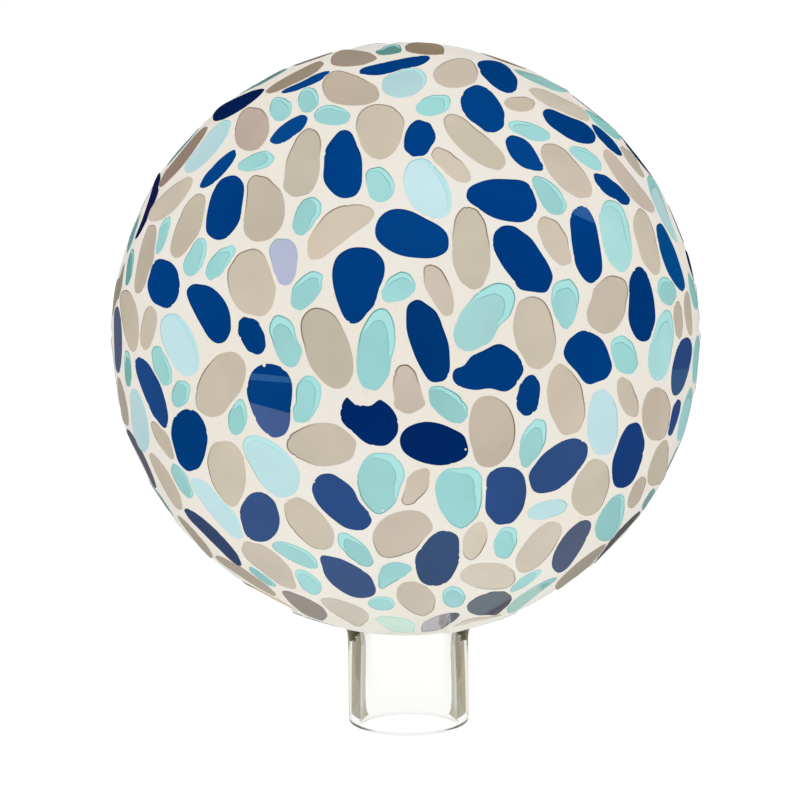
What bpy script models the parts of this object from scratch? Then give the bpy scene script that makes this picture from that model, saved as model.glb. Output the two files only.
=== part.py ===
"""Mosaic gazing globe: a blown glass ball with its neck, covered in flat glass tiles set in grout.

The globe stands on the rim of its neck. The origin is the centre of that rim, +Z is up,
and the side that faces -Y is the one in the photograph. Units are metres.
"""

import math

import bmesh
import bpy
import numpy as np
from mathutils import Matrix, Vector
from mathutils.geometry import delaunay_2d_cdt

# Driving sizes, in metres
ball_diameter = 0.254
neck_diameter = 0.053
neck_bore = 0.0427
neck_length = 0.0363
flare_radius = 0.020
glass_wall = 0.0023
rim_rounding = 0.0012
bed_thickness = 0.0006
tile_thickness = 0.003
tile_set_in = 0.0004
tile_proud = 0.0003
joint_width = 0.0015
least_gap = 0.0007
fit_gap = 0.0003
collar_reach = 0.004
collar_swell = 0.0022
collar_edge = 0.0013
collar_spread = 0.022
collar_flat = 0.25

# Counts
turn_steps = 32
ball_rings = 10
separate_tiles = 56
separate_corners = 8
joined_corners = 5
outline_points = 24
radius_steps = 36
ball_tiles = 400
opening_rounds = 8

# How the photograph was taken: picture pixels, degrees, and the camera's distance in ball radii
picture_centre = (405.7, 337.0)
picture_radius = 293.7
picture_roll = 0.46
picture_elevation = 7.3
picture_distance = 9.45

# The tiles that show in the photograph, read by eye. Each row gives the two ends of a tile in
# picture pixels, its width there, how much fatter the first end is, and how far its middle bows.
navy_rows = [
    (213, 120, 264, 89, 12), (236, 151, 201, 188, 13), (236, 176, 215, 240, 36), (282, 93, 331, 72, 8),
    (359, 73, 430, 59, 13, .05), (307, 117, 271, 143, 16, .05), (345, 131, 347, 199, 40, -.12, 4),
    (424, 121, 414, 157, 32), (466, 89, 500, 130, 36), (477, 63, 516, 90, 23, -.35, -2),
    (543, 111, 595, 141, 22), (508, 138, 542, 171, 22, .3), (592, 125, 622, 156, 9),
    (162, 174, 136, 240, 6), (594, 174, 629, 204, 15), (161, 259, 166, 308, 33),
    (192, 285, 223, 343, 33, 0, -5), (244, 316, 260, 354, 24), (376, 224, 450, 246, 46, .15),
    (362, 247, 353, 324, 50, .35), (414, 300, 440, 383, 37, 0, -2), (466, 193, 538, 205, 42, -.25),
    (497, 228, 546, 288, 40, -.1), (579, 206, 593, 284, 30), (658, 223, 682, 291, 15),
    (638, 267, 644, 342, 28, -.12), (574, 334, 602, 381, 45), (687, 337, 675, 396, 17),
    (452, 378, 523, 364, 42, -.25), (532, 375, 525, 416, 23), (679, 399, 669, 436, 8, .1),
    (400, 438, 469, 450, 42, .05), (585, 443, 531, 489, 38), (636, 422, 618, 488, 28, 0, -2),
    (508, 466, 501, 524, 43), (640, 510, 593, 565, 6), (588, 520, 554, 571, 22, .05),
    (450, 531, 427, 583, 43, -.08), (512, 597, 467, 609, 21), (460, 614, 421, 629, 13),
    (282, 592, 327, 617, 14), (323, 560, 374, 591, 29, -.05, 3), (185, 508, 242, 565, 12),
    (128, 428, 157, 488, 5), (256, 492, 263, 542, 40), (317, 477, 368, 527, 37, .15, 2),
    (187, 409, 192, 471, 36, .15), (139, 357, 166, 428, 19), (266, 364, 278, 438, 46, .25),
    (344, 400, 395, 438, 46), (118, 306, 119, 373, 7),
]
taupe_rows = [
    (158, 189, 208, 127, 9), (258, 108, 246, 151, 34, -.05), (192, 178, 150, 221, 19),
    (202, 194, 175, 258, 24), (154, 224, 138, 294, 16), (126, 290, 134, 352, 17), (152, 306, 145, 350, 15, .1),
    (259, 175, 258, 242, 42, -.12, -6), (248, 249, 259, 317, 48, .03, 2), (266, 93, 324, 63, 11),
    (330, 61, 377, 57, 15), (404, 48, 447, 51, 11), (322, 84, 380, 96, 32, .2), (295, 198, 312, 129, 35, .15),
    (381, 105, 379, 160, 48, .25), (433, 76, 479, 72, 29), (445, 117, 504, 168, 28), (431, 149, 470, 181, 20),
    (504, 103, 535, 105, 15), (529, 89, 590, 120, 15), (543, 145, 589, 197, 29), (620, 146, 644, 178, 7),
    (603, 150, 653, 213, 15), (638, 209, 656, 275, 20), (373, 210, 309, 258, 33, 0, 9),
    (312, 308, 342, 388, 46), (468, 206, 474, 290, 39), (542, 217, 568, 265, 25), (428, 264, 450, 315, 23),
    (529, 296, 540, 369, 42, .05), (618, 276, 598, 333, 40), (677, 301, 679, 339, 9), (686, 291, 690, 336, 7),
    (403, 364, 411, 414, 28, -.05), (487, 395, 488, 467, 47, 0, -5), (561, 363, 570, 435, 37, 0, -1),
    (621, 377, 634, 417, 18), (657, 387, 655, 441, 29, .05), (666, 440, 651, 486, 16, .05),
    (427, 469, 404, 504, 22), (600, 459, 582, 515, 35), (644, 476, 629, 508, 12), (608, 543, 555, 588, 10),
    (559, 523, 518, 571, 27, .1), (482, 522, 467, 559, 23), (432, 522, 374, 547, 43, -.05, 2),
    (460, 575, 516, 577, 27), (398, 587, 434, 608, 30), (321, 600, 369, 620, 17, -.05),
    (243, 543, 297, 586, 24, .1), (216, 555, 277, 595, 7), (178, 515, 213, 557, 6), (151, 453, 182, 510, 12),
    (287, 500, 331, 547, 33), (287, 443, 357, 446, 44), (222, 440, 233, 507, 37, .2),
    (153, 421, 174, 459, 12, .05), (119, 377, 128, 426, 6), (237, 353, 205, 415, 43),
]
aqua_rows = [
    (274, 156, 238, 168, 17, .2), (375, 53, 403, 49, 8), (284, 98, 277, 121, 22, .1), (311, 88, 306, 113, 21),
    (350, 117, 313, 114, 20, .1), (373, 167, 386, 201, 28, -.15), (416, 110, 451, 101, 20),
    (512, 70, 569, 92, 8), (508, 124, 550, 138, 16), (584, 110, 620, 140, 7), (569, 148, 601, 170, 14, 0, -2),
    (533, 177, 563, 213, 23, -.2), (609, 199, 623, 272, 30), (647, 176, 676, 243, 9), (688, 273, 696, 310, 5),
    (663, 277, 670, 305, 18), (169, 216, 156, 255, 10), (203, 238, 188, 276, 19, -.05),
    (235, 247, 208, 279, 18, 0, 2), (133, 249, 127, 286, 6), (316, 198, 297, 235, 24, .15),
    (321, 273, 295, 309, 25, 0, 2), (414, 279, 380, 297, 27, .15), (277, 315, 294, 367, 27),
    (382, 308, 370, 391, 38), (510, 286, 459, 348, 44), (564, 279, 566, 329, 27, .3),
    (667, 310, 656, 381, 23, -.15), (617, 336, 630, 374, 26), (697, 335, 693, 384, 5),
    (430, 388, 466, 420, 27, -.05), (691, 387, 678, 441, 8), (541, 419, 524, 467, 23, .1),
    (460, 465, 461, 528, 49, .25), (622, 494, 600, 540, 23, -.1), (654, 488, 642, 510, 6),
    (511, 526, 500, 558, 22), (541, 570, 510, 591, 9), (557, 577, 506, 610, 9), (442, 595, 465, 598, 21),
    (368, 602, 395, 604, 14), (294, 571, 321, 592, 17), (273, 543, 319, 566, 16), (249, 567, 276, 586, 8),
    (173, 464, 192, 498, 13, .05), (338, 534, 372, 565, 19), (379, 585, 409, 568, 17, 0, -6),
    (385, 452, 376, 513, 47, .1), (156, 346, 168, 386, 17), (184, 380, 178, 407, 18), (127, 350, 129, 387, 7),
    (314, 375, 298, 423, 28), (239, 398, 236, 435, 19),
]
pale_rows = [
    (230, 121, 186, 173, 18), (382, 88, 426, 77, 30), (413, 160, 442, 219, 43), (168, 314, 192, 376, 32),
    (601, 389, 601, 456, 31, 0, -2), (567, 504, 527, 515, 18), (376, 619, 416, 628, 14),
    (193, 478, 243, 538, 20), (246, 437, 294, 494, 39, -.2, -1.5), (134, 388, 145, 452, 16),
    (282, 238, 285, 286, 29, .2),
]
# Slivers of tiles on the ball's outline: where each shows, and its colour
rim_rows = [
    (260, 85, "aqua"), (291, 68, "taupe"), (184, 146, "aqua"), (134, 233, "aqua"), (119, 296, "taupe"),
    (501, 60, "taupe"), (579, 100, "navy"), (631, 150, "navy"), (689, 263, "navy"),
]
# Round bites out of tile edges, by the tile's first end: centre and radius in picture pixels
bites = {(344, 400): (364, 390, 13), (379, 585): (402, 589, 16)}

tile_squareness = 2.35
hollow_weight = 5
draw_in = 0.98
facing_share = 0.4
deepest_overlap = 6

# The hidden side's tiles, in ball radii, with their joints in shares of the joint width
hidden_mix = {"navy": 0.28, "taupe": 0.36, "aqua": 0.29, "pale": 0.07}
hidden_joint = 2.4
edge_joint = 2.0
seed_scatter = 0.035
seed_room = 0.05
rim_room = 0.035
rim_spacing = 0.09
rim_setback = 0.05
collar_room = 0.06
longest_spine = 0.075
widest_half = 0.085
longest_reach = 0.17
shortest_reach = 0.004
evening_rounds = 6
colours = {
    "navy": (0.003, 0.038, 0.20, 1),
    "taupe": (0.58, 0.49, 0.38, 1),
    "aqua": (0.30, 0.66, 0.64, 1),
    "pale": (0.56, 0.80, 0.83, 1),
    "grout": (0.90, 0.82, 0.74, 1),
    "glass": (0.93, 0.96, 0.94, 1),
}

# Sizes that follow
ball_radius = ball_diameter / 2
glass_radius = ball_radius - tile_set_in - tile_thickness - bed_thickness - 2 * fit_gap
neck_radius = neck_diameter / 2
bore_radius = neck_bore / 2
collar_radius = neck_radius + collar_reach
flare_across = neck_radius + flare_radius
flare_below = math.sqrt((glass_radius + flare_radius) ** 2 - flare_across ** 2)
ball_height = neck_length + flare_below
collar_angle = math.asin(collar_radius / (ball_radius + collar_swell))
joint_angle = joint_width / ball_radius
near_seeds = 2 * longest_reach + longest_spine
near_outlines = longest_reach + edge_joint * joint_angle
collar_cosine = math.cos(collar_angle + joint_angle)


def clear_scene():
    for item in list(bpy.data.objects):
        bpy.data.objects.remove(item, do_unlink=True)


def make_material(name, roughness, transmission=0.0):
    material = bpy.data.materials.new(name)
    material.use_nodes = True
    shader = material.node_tree.nodes["Principled BSDF"]
    shader.inputs["Base Color"].default_value = colours[name]
    shader.inputs["Roughness"].default_value = roughness
    shader.inputs["Metallic"].default_value = 0.0
    shader.inputs["Transmission Weight"].default_value = transmission
    return material


def add_object(name, mesh, material, parent):
    mesh.materials.append(material)
    item = bpy.data.objects.new(name, mesh)
    bpy.context.scene.collection.objects.link(item)
    item.parent = parent
    return item


# The camera's view of the ball
lean = math.radians(picture_elevation)
toward_camera = np.array([0.0, -math.cos(lean), math.sin(lean)])
picture_right = np.array([1.0, 0.0, 0.0])
picture_up = np.cross(toward_camera, picture_right)
limb_slope = math.sqrt(picture_distance ** 2 - 1)
picture_focal = picture_radius * limb_slope
limb_share = 0.985
limb_limit = 0.998
limb_overhang = 0.035


def unit(vectors):
    return vectors / np.linalg.norm(vectors, axis=-1, keepdims=True)


def on_ball(pixels):
    """Directions from the ball's centre to picture points, and how far each is out to the ball's outline."""
    offset = np.asarray(pixels, float) - picture_centre
    roll = math.radians(picture_roll)
    across = (offset[:, 0] * math.cos(roll) - offset[:, 1] * math.sin(roll)) / picture_focal
    down = (offset[:, 0] * math.sin(roll) + offset[:, 1] * math.cos(roll)) / picture_focal
    share = np.hypot(across, down) * limb_slope
    pull = (limb_limit / np.maximum(share, limb_limit))[:, None]
    ray = pull * (across[:, None] * picture_right - down[:, None] * picture_up) - toward_camera
    square = (ray ** 2).sum(1)
    near = picture_distance - np.sqrt(picture_distance ** 2 - square * limb_slope ** 2)
    return picture_distance * toward_camera + (near / square)[:, None] * ray, share


def pixel_outline(row):
    """A tile's outline in picture pixels: a squared-off ellipse between the row's two ends."""
    x1, y1, x2, y2, width = row[:5]
    fatter = row[5] if len(row) > 5 else 0.0
    bow = row[6] if len(row) > 6 else 0.0
    first = np.array([x1, y1], float)
    half = (np.array([x2, y2], float) - first) / 2
    side = np.array([-half[1], half[0]]) / np.hypot(*half)
    angle = np.linspace(0, 2 * math.pi, outline_points, endpoint=False)
    along = np.sign(np.cos(angle)) * np.abs(np.cos(angle)) ** (2 / tile_squareness)
    aside = np.sign(np.sin(angle)) * np.abs(np.sin(angle)) ** (2 / tile_squareness)
    shift = aside * width / 2 * (1 - fatter * along) + bow * (1 - along ** 2)
    points = first + half + along[:, None] * half + shift[:, None] * side
    if (x1, y1) in bites:
        x, y, radius = bites[x1, y1]
        away = points - (x, y)
        distance = np.hypot(away[:, 0], away[:, 1])
        inside = distance < radius
        points[inside] += away[inside] * (radius / distance[inside] - 1)[:, None]
    return points


def seen_tile(row):
    """A tile of the photograph on the ball. Its end past the ball's outline is rounded off."""
    outline, share = on_ball(pixel_outline(row))
    past = np.flatnonzero(share > limb_share)
    if 0 < len(past) < outline_points:
        start = next(k for k in past if (k - 1) % outline_points not in past)
        run = [(start + k) % outline_points for k in range(len(past))]
        arch = np.sin(np.linspace(0, math.pi, len(run) + 2)[1:-1])
        outline[run] = outline[run] - limb_overhang * arch[:, None] * toward_camera
    return unit(outline)


def open_joints(tiles):
    """Draws in the outlines until neighbours stand a joint apart."""
    outlines = [outline for _, outline in tiles]
    for _ in range(opening_rounds):
        centres = np.array([unit(outline.mean(0)) for outline in outlines])
        reach = np.array([np.linalg.norm(o - c, axis=1).max() for o, c in zip(outlines, centres)])
        drawn = []
        for index, outline in enumerate(outlines):
            distance = np.linalg.norm(centres - centres[index], axis=1)
            inward = unit(centres[index] - outline)
            push = np.zeros(outline_points)
            for other in np.flatnonzero(distance < reach + reach[index] + joint_angle):
                if other == index:
                    continue
                starts = outlines[other]
                edges = np.roll(starts, -1, axis=0) - starts
                share = ((outline[:, None] - starts) * edges).sum(2) / (edges ** 2).sum(1)
                feet = starts + np.clip(share, 0, 1)[..., None] * edges
                gaps = np.linalg.norm(outline[:, None] - feet, axis=2)
                nearest = gaps.argmin(1)
                gap = gaps.min(1)
                foot = feet[np.arange(outline_points), nearest]
                to_centre = np.linalg.norm(outline - centres[other], axis=1)
                overlaps = to_centre < np.linalg.norm(foot - centres[other], axis=1)
                lack = np.where(overlaps, joint_angle + gap, joint_angle - gap)
                lack[gap > deepest_overlap * joint_angle] = 0
                push += np.clip(lack, 0, None) / 2
            drawn.append(unit(outline + inward * push[:, None]))
        outlines = drawn
    return [(colour, outline) for (colour, _), outline in zip(tiles, outlines)]


def outside_collar(outline):
    """Moves any point of an outline that lies over the neck's hole out past its edge."""
    level = np.hypot(outline[:, 0], outline[:, 1])
    least = math.sqrt(1 - collar_cosine ** 2)
    over = (outline[:, 2] < 0) & (level < least)
    moved = outline.copy()
    moved[over, :2] *= (least / level[over])[:, None]
    moved[over, 2] = -collar_cosine
    return moved


def tangents(centre):
    side = np.cross([0.0, 0.0, 1.0], centre)
    side = unit(side) if np.linalg.norm(side) > 1e-6 else np.array([1.0, 0.0, 0.0])
    return side, np.cross(centre, side)


def grow_outlines(seeds, spines, fixed, angle_count, radius_count):
    """The outline round each seed and its spine, out to a joint's width from its neighbours."""
    angles = np.linspace(0, 2 * math.pi, angle_count, endpoint=False)
    radii = np.linspace(shortest_reach, longest_reach, radius_count)
    sites = np.stack([unit(seeds - spines), seeds, unit(seeds + spines)], axis=1)
    outlines = []
    for index, seed in enumerate(seeds):
        side, up = tangents(seed)
        spokes = np.cos(angles)[:, None] * side + np.sin(angles)[:, None] * up
        points = unit(seed + radii[None, :, None] * spokes[:, None, :])
        near = np.linalg.norm(seeds - seed, axis=1) < near_seeds
        near[index] = False
        own = np.linalg.norm(points[:, :, None] - sites[index], axis=3).min(2)
        others = np.linalg.norm(points[:, :, None] - sites[near].reshape(-1, 3), axis=3).min(2)
        free = (own < widest_half) & (others - own > hidden_joint * joint_angle)
        free &= points[..., 2] > -collar_cosine
        close = fixed[np.linalg.norm(fixed - seed, axis=1) < near_outlines]
        if len(close):
            free &= np.linalg.norm(points[:, :, None] - close, axis=3).min(2) > edge_joint * joint_angle
        clear = np.logical_and.accumulate(free, axis=1).sum(1)
        reach = radii[np.maximum(clear - 1, 0)]
        for _ in range(2):
            reach = (np.roll(reach, 1) + 2 * reach + np.roll(reach, -1)) / 4
        outlines.append(unit(seed + reach[:, None] * spokes))
    return outlines


def is_inside(spot, outline):
    side, up = tangents(spot)
    turn = np.arctan2(outline @ up, outline @ side)
    steps = (np.roll(turn, -1) - turn + math.pi) % (2 * math.pi) - math.pi
    return abs(steps.sum()) > math.pi


def free_room(spot, tiles):
    """How far a spot is from the nearest tile's outline, or nothing where it is inside a tile."""
    room = 2.0
    for _, outline in tiles:
        gap = np.linalg.norm(outline - spot, axis=1).min()
        if outline.mean(0) @ spot > 0 and is_inside(spot, outline):
            return 0.0
        room = min(room, gap)
    return room


def hidden_tiles(seen):
    """Tiles of the same kind over the rest of the ball, evened out by moving each to its middle."""
    random = np.random.default_rng(7)
    corners = np.concatenate([outline for _, outline in seen])
    halfway = np.concatenate([(o + np.roll(o, -1, axis=0)) / 2 for _, o in seen])
    fixed = np.concatenate([corners, unit(halfway)])
    order = np.arange(ball_tiles) + 0.5
    height = 1 - 2 * order / ball_tiles
    turn = order * math.pi * (3 - math.sqrt(5))
    ring = np.sqrt(1 - height ** 2)
    spread = np.stack([ring * np.cos(turn), ring * np.sin(turn), height], axis=1)
    spread = unit(spread + random.normal(0, seed_scatter, spread.shape))
    rim, _ = on_ball([row[:2] for row in rim_rows])
    rim = unit(rim - rim_setback * toward_camera)
    room = np.array([free_room(spot, seen) for spot in rim])
    rim_colours = [row[2] for row, free in zip(rim_rows, room) if free > rim_room]
    rim = rim[room > rim_room]
    room = np.array([free_room(spot, seen) for spot in spread])
    from_rim = np.linalg.norm(spread[:, None] - rim, axis=2).min(1)
    kept = (room > seed_room) & (from_rim > rim_spacing)
    kept &= spread[:, 2] > -math.cos(collar_angle + collar_room)
    seeds = np.concatenate([rim, spread[kept]])
    spines = []
    for seed in seeds:
        side, up = tangents(seed)
        turn = random.uniform(0, math.pi)
        spines.append((math.cos(turn) * side + math.sin(turn) * up) * random.uniform(0, longest_spine))
    spines = np.array(spines)
    for _ in range(evening_rounds):
        outlines = grow_outlines(seeds, spines, fixed, outline_points // 2, radius_steps // 2)
        seeds = np.array([unit(outline.mean(0)) for outline in outlines])
    outlines = grow_outlines(seeds, spines, fixed, outline_points, radius_steps)
    names = list(hidden_mix)
    shares = np.array(list(hidden_mix.values()))
    drawn = random.choice(names, size=len(outlines), p=shares / shares.sum())
    tints = rim_colours + list(drawn[len(rim_colours):])
    return list(zip(tints, outlines))


def lay_tiles():
    rows = {"navy": navy_rows, "taupe": taupe_rows, "aqua": aqua_rows, "pale": pale_rows}
    seen = [(colour, seen_tile(row)) for colour, group in rows.items() for row in group]
    seen = [(colour, outside_collar(outline)) for colour, outline in open_joints(seen)]
    return seen, hidden_tiles(seen)


# The mosaic's face
def glass_reach(angle):
    """How far the glass is from the ball's centre, at an angle up from straight down."""
    flare_angle = math.atan2(flare_across, flare_below)
    if angle >= flare_angle:
        return glass_radius
    to_centre = glass_radius + flare_radius
    along = to_centre * math.cos(flare_angle - angle)
    return along - math.sqrt(max(along ** 2 - to_centre ** 2 + flare_radius ** 2, 0))


def face_reach(direction):
    """How far the mosaic's face is from the ball's centre. It swells out to a collar round the neck."""
    angle = math.acos(max(-1.0, min(1.0, -direction[2])))
    out = (math.sin(angle) * ball_radius - collar_radius) / collar_spread if direction[2] < 0 else 1.0
    fall = max(0.0, min(1.0, (out - collar_flat) / (1 - collar_flat)))
    swell = collar_swell * (1 - fall * fall * (3 - 2 * fall))
    return max(ball_radius + swell, glass_reach(angle) + fit_gap + collar_edge)


class FlatTile:
    """One flat tile: its frame on the ball and its corners in its own plane."""

    def __init__(self, outline, corner_count, evened=False):
        self.centre = unit(outline.mean(0))
        self.side, self.up = tangents(self.centre)
        self.height = face_reach(self.centre) - tile_set_in
        if evened:
            # Its corners stand as far out as the grout's face.
            self.height = face_reach(self.centre) / (1 / (outline @ self.centre)).mean()
        points = outline * (self.height / (outline @ self.centre))[:, None]
        flat = np.stack([points @ self.side, points @ self.up], axis=1)
        middle = flat.mean(0)
        turn = np.arctan2(flat[:, 1] - middle[1], flat[:, 0] - middle[0])
        self.corners = fewest_corners(flat[np.argsort(turn)], corner_count)
        self.area = polygon_area(self.corners)

    def place(self, flat, height):
        """Points in the tile's plane, at a height from the ball's centre."""
        return flat[:, :1] * self.side + flat[:, 1:] * self.up + height * self.centre


def corner_gap(tile, other):
    """How far the corners of one tile are from another tile, in that tile's plane. It is negative inside."""
    spots = tile.place(tile.corners, tile.height)
    spots = spots * (other.height / (spots @ other.centre))[:, None]
    flat = np.stack([spots @ other.side, spots @ other.up], axis=1)
    starts = other.corners
    edges = np.roll(starts, -1, axis=0) - starts
    share = ((flat[:, None] - starts) * edges).sum(2) / (edges ** 2).sum(1)
    feet = starts + np.clip(share, 0, 1)[..., None] * edges
    gap = np.linalg.norm(flat[:, None] - feet, axis=2).min(1)
    above = (starts[:, 1] > flat[:, None, 1]) != (np.roll(starts[:, 1], -1) > flat[:, None, 1])
    slope = np.where(np.abs(edges[:, 1]) > 0, edges[:, 1], 1)
    crossing = starts[:, 0] + (flat[:, None, 1] - starts[:, 1]) * edges[:, 0] / slope
    inside = (above & (flat[:, None, 0] < crossing)).sum(1) % 2 == 1
    return np.where(inside, -gap, gap).min()


def keep_clear(tiles):
    """Draws in any tile whose straightened outline comes too close to a neighbour."""
    centres = np.array([tile.centre for tile in tiles])
    reach = np.array([np.linalg.norm(tile.corners, axis=1).max() for tile in tiles])
    for index, tile in enumerate(tiles):
        distance = np.linalg.norm(centres - centres[index], axis=1) * ball_radius
        for other in np.flatnonzero(distance < reach + reach[index]):
            if other <= index:
                continue
            pair = (tile, tiles[other])
            while min(corner_gap(*pair), corner_gap(*pair[::-1])) < least_gap:
                for drawn in pair:
                    drawn.corners = drawn.corners * draw_in


def polygon_area(flat):
    ahead = np.roll(flat, -1, axis=0)
    return 0.5 * (flat[:, 0] * ahead[:, 1] - flat[:, 1] * ahead[:, 0]).sum()


def fewest_corners(flat, count):
    """Drops the flattest corner of an outline until only a few are left, and hollows last."""
    flat = list(flat)
    while len(flat) > count:
        sizes = []
        for k, point in enumerate(flat):
            back = flat[k - 1] - point
            ahead = flat[(k + 1) % len(flat)] - point
            bulge = ahead[0] * back[1] - ahead[1] * back[0]
            sizes.append(bulge if bulge > 0 else -hollow_weight * bulge)
        flat.pop(int(np.argmin(sizes)))
    return np.array(flat)


def widened(flat, distance):
    """A polygon with each side moved out by a distance."""
    ahead = np.roll(flat, -1, axis=0) - flat
    normal = unit(np.stack([ahead[:, 1], -ahead[:, 0]], axis=1))
    before = np.roll(normal, 1, axis=0)
    bend = 1 + (normal * before).sum(1, keepdims=True)
    return flat + distance * (normal + before) / bend


def glass_profile():
    """Outer and inner outlines of the glass, each from the top down, as radius and height."""
    flare_start = math.atan2(flare_below, flare_across)
    collar_turn = math.acos((flare_across - collar_radius) / (flare_radius - fit_gap))
    flare_turns = [collar_turn + (flare_start - collar_turn) * k / 2 for k in (2, 1, 0)]
    flare_turns += [collar_turn * k / 3 for k in (2, 1, 0)]
    ball_end = math.pi / 2 + flare_start
    ball_turns = [ball_end * k / ball_rings for k in range(ball_rings)]
    return ball_turns, flare_turns


def ball_point(radius, turn):
    return (radius * math.sin(turn), ball_height + radius * math.cos(turn))


def flare_point(radius, turn):
    return (flare_across - radius * math.cos(turn), neck_length + radius * math.sin(turn))


def make_glass():
    ball_turns, flare_turns = glass_profile()
    inner_radius = glass_radius - glass_wall
    neck_wall = neck_radius - bore_radius
    outer = [ball_point(glass_radius, turn) for turn in ball_turns]
    outer += [flare_point(flare_radius, turn) for turn in flare_turns]
    rounding = min(rim_rounding, neck_wall / 3)
    lip = [math.radians(step) for step in (0, 45, 90)]
    outer += [(neck_radius - rounding * (1 - math.cos(a)), rounding * (1 - math.sin(a))) for a in lip]
    inner = [ball_point(inner_radius, turn) for turn in ball_turns]
    for turn in flare_turns:
        thick = neck_wall + (glass_wall - neck_wall) * turn / flare_turns[0]
        inner.append(flare_point(flare_radius + thick, turn))
    inner += [(bore_radius + rounding * (1 - math.cos(a)), rounding * (1 - math.sin(a))) for a in lip]
    return turned_solid("glass_globe", outer, inner)


def ring_of(shape, radius, height):
    return [
        shape.verts.new((
            radius * math.cos(2 * math.pi * k / turn_steps),
            radius * math.sin(2 * math.pi * k / turn_steps),
            height,
        ))
        for k in range(turn_steps)
    ]


def skin_between(shape, above, below):
    for k in range(turn_steps):
        ahead = (k + 1) % turn_steps
        if len(above) == 1:
            shape.faces.new((above[0], below[k], below[ahead]))
        else:
            shape.faces.new((above[k], below[k], below[ahead], above[ahead]))


def turned_skin(shape, profile):
    """A turned surface from its pole down. Returns its last ring."""
    rings = [[shape.verts.new((0, 0, profile[0][1]))]]
    rings += [ring_of(shape, radius, height) for radius, height in profile[1:]]
    for above, below in zip(rings, rings[1:]):
        skin_between(shape, above, below)
    return rings[-1]


def finish_mesh(shape, name):
    bmesh.ops.recalc_face_normals(shape, faces=shape.faces)
    mesh = bpy.data.meshes.new(name)
    shape.to_mesh(mesh)
    shape.free()
    return mesh


def turned_solid(name, outer, inner):
    shape = bmesh.new()
    outer_end = turned_skin(shape, outer)
    inner_end = turned_skin(shape, inner)
    skin_between(shape, outer_end, inner_end)
    mesh = finish_mesh(shape, name)
    mesh.shade_smooth()
    mesh.set_sharp_from_angle(angle=math.radians(40))
    return mesh


def flat_map(direction):
    """The ball laid out flat from its top, with the neck at the outside."""
    return Vector((direction[0] / (1 + direction[2]), direction[1] / (1 + direction[2])))


def make_grout(separate, joined):
    """The grout as one solid: a pocket for each separate tile, and the joined tiles as its own flats."""
    spots = []
    loops = []
    for tile in separate:
        rim = tile.place(widened(tile.corners, fit_gap), tile.height - tile_proud)
        loops.append(list(range(len(spots), len(spots) + len(rim))))
        spots += list(rim)
    for tile in joined:
        rim = tile.place(tile.corners, tile.height)
        loops.append(list(range(len(spots), len(spots) + len(rim))))
        spots += list(rim)
    ring_start = len(spots)
    ring_height = -math.sqrt(face_reach((0, 0, -math.cos(collar_angle))) ** 2 - collar_radius ** 2)
    for k in range(turn_steps):
        turn = 2 * math.pi * k / turn_steps
        spots.append(np.array([collar_radius * math.cos(turn), collar_radius * math.sin(turn), ring_height]))
    ring = list(range(ring_start, len(spots)))
    flat = [flat_map(unit(spot)) for spot in spots]
    edges = [(ring[k - 1], ring[k]) for k in range(turn_steps)]
    _, _, faces, _, _, sources = delaunay_2d_cdt(flat, edges, loops, 0, 1e-6)
    shape = bmesh.new()
    lift = Vector((0, 0, ball_height))
    verts = [shape.verts.new(Vector(spot) + lift) for spot in spots]
    for face, source in zip(faces, sources):
        if not source or source[0] >= len(separate):
            shape.faces.new([verts[k] for k in face])
    for tile, loop in zip(separate, loops):
        floor_height = tile.height - tile_thickness - fit_gap
        floor = tile.place(widened(tile.corners, fit_gap), floor_height)
        floor_verts = [shape.verts.new(Vector(spot) + lift) for spot in floor]
        shape.faces.new(floor_verts)
        for k, spot in enumerate(loop):
            shape.faces.new((verts[loop[k - 1]], verts[spot], floor_verts[k], floor_verts[k - 1]))
    ball_turns, flare_turns = glass_profile()
    inner = [ball_point(glass_radius + fit_gap, turn) for turn in ball_turns]
    inner += [flare_point(flare_radius - fit_gap, turn) for turn in flare_turns[:3]]
    inner_end = turned_skin(shape, inner)
    skin_between(shape, [verts[k] for k in ring], inner_end)
    return finish_mesh(shape, "grout")


def make_tile(tile, name):
    """A flat tile as a slab with its face at the origin of its own frame, facing its +Z."""
    shape = bmesh.new()
    face = [shape.verts.new((x, y, 0)) for x, y in tile.corners]
    back = [shape.verts.new((x, y, -tile_thickness)) for x, y in tile.corners]
    shape.faces.new(face)
    shape.faces.new(back[::-1])
    for k in range(len(face)):
        shape.faces.new((face[k - 1], back[k - 1], back[k], face[k]))
    return finish_mesh(shape, name)


def place_tile(item, tile):
    turn = Matrix((tile.side, tile.up, tile.centre)).transposed().to_4x4()
    middle = Vector(tile.centre) * tile.height + Vector((0, 0, ball_height))
    item.matrix_local = Matrix.Translation(middle) @ turn


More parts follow.
